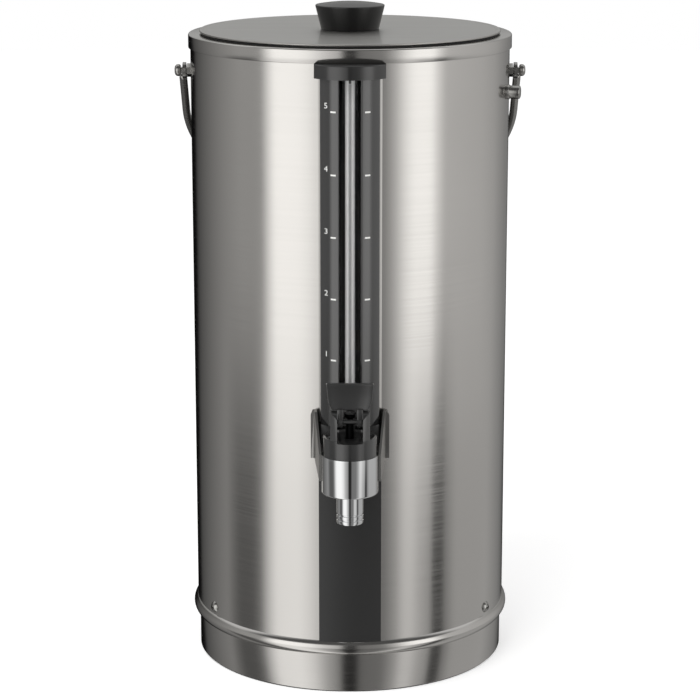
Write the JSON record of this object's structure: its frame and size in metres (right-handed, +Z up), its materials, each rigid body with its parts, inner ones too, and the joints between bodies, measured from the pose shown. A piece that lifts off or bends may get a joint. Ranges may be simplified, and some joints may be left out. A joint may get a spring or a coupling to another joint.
{
  "type": "coffee urn",
  "caption": "Insulated cylindrical coffee urn with a gauge glass down its front, a lever tap, a lift-off lid and a carrying bail.",
  "frame": {"origin": "on the table, at the middle of the round foot pad, on the urn's axis", "axes": "+Z up along the urn's axis, -Y towards the front with the tap, +X to the right seen from the front"},
  "size_m": [0.2424, 0.2754, 0.462],
  "materials": {
    "shell_steel": "brushed round the can",
    "lid_steel": "satin",
    "vessel_steel": "drawn and washed",
    "fastener_steel": "turned",
    "tap_chrome": "polished plate",
    "black_plastic": "fine moulded satin",
    "knob_plastic": "moulded gloss",
    "gauge_tube": "clear drawn tube",
    "black_rubber": "moulded",
    "silicone": "translucent silicone",
    "foam": "rigid foam, poured"
  },
  "bodies": {
    "urn": {"foot_pad": "black_rubber", "bottom_plate": "vessel_steel", "base_ring": "shell_steel", "base_screws": "fastener_steel", "outer_shell": "shell_steel", "front_strip": "black_plastic", "inner_vessel": "vessel_steel", "vessel_drain": "vessel_steel", "top_collar": "shell_steel", "foam_jacket": "foam", "foam_floor": "foam", "foam_tray": "vessel_steel", "gauge_channel": "black_plastic", "gauge_glass": "gauge_tube", "gauge_cap": "black_plastic", "gauge_top_plug": "black_rubber", "gauge_bottom_seal": "black_rubber", "tap_plate": "vessel_steel", "tap_spacer": "fastener_steel", "tap_guard": "lid_steel", "tap_body": "tap_chrome", "tap_spout": "tap_chrome", "tap_riser": "tap_chrome", "tap_bonnet": "black_plastic", "tap_washer": "black_rubber", "tap_nut": "fastener_steel", "drain_hose": "black_rubber", "lever_pin": "fastener_steel", "pivot_bolts": "fastener_steel", "pivot_spacers": "fastener_steel", "pivot_backings": "fastener_steel", "bail_stop": "fastener_steel", "bail_stop_nut": "fastener_steel"},
    "lid": {"lid_disc": "lid_steel", "lid_liner": "vessel_steel", "lid_foam": "foam", "lid_gasket": "black_rubber", "lid_knob": "knob_plastic", "knob_screw": "fastener_steel"},
    "bail": {"bail_handle": "fastener_steel"},
    "lever": {"tap_lever": "black_plastic"},
    "stem": {"valve_stem": "fastener_steel", "valve_cup": "silicone", "valve_spring": "fastener_steel"}
  },
  "joints": [
    {"name": "lid_lift", "type": "slide", "parent": "urn", "child": "lid", "axis": [0, 0, 1], "range_m": [0, 0.15]},
    {"name": "bail_swing", "type": "hinge", "parent": "urn", "child": "bail", "pos_m": [0, 0, 0.4148], "axis": [1, 0, 0], "range_deg": [0, 233]},
    {"name": "lever_pull", "type": "hinge", "parent": "urn", "child": "lever", "pos_m": [0, -0.149, 0.203], "axis": [1, 0, 0], "range_deg": [0, 28], "stiffness_Nm_per_rad": 0.6, "springref_deg": -20.05},
    {"name": "stem_lift", "type": "slide", "parent": "urn", "child": "stem", "axis": [0, 0, 1], "range_m": [0, 0.004], "deforming": ["valve_spring"]}
  ],
  "couplings": [
    {"joint": "stem_lift", "follows": "lever_pull", "m_per_rad": 0.008}
  ]
}
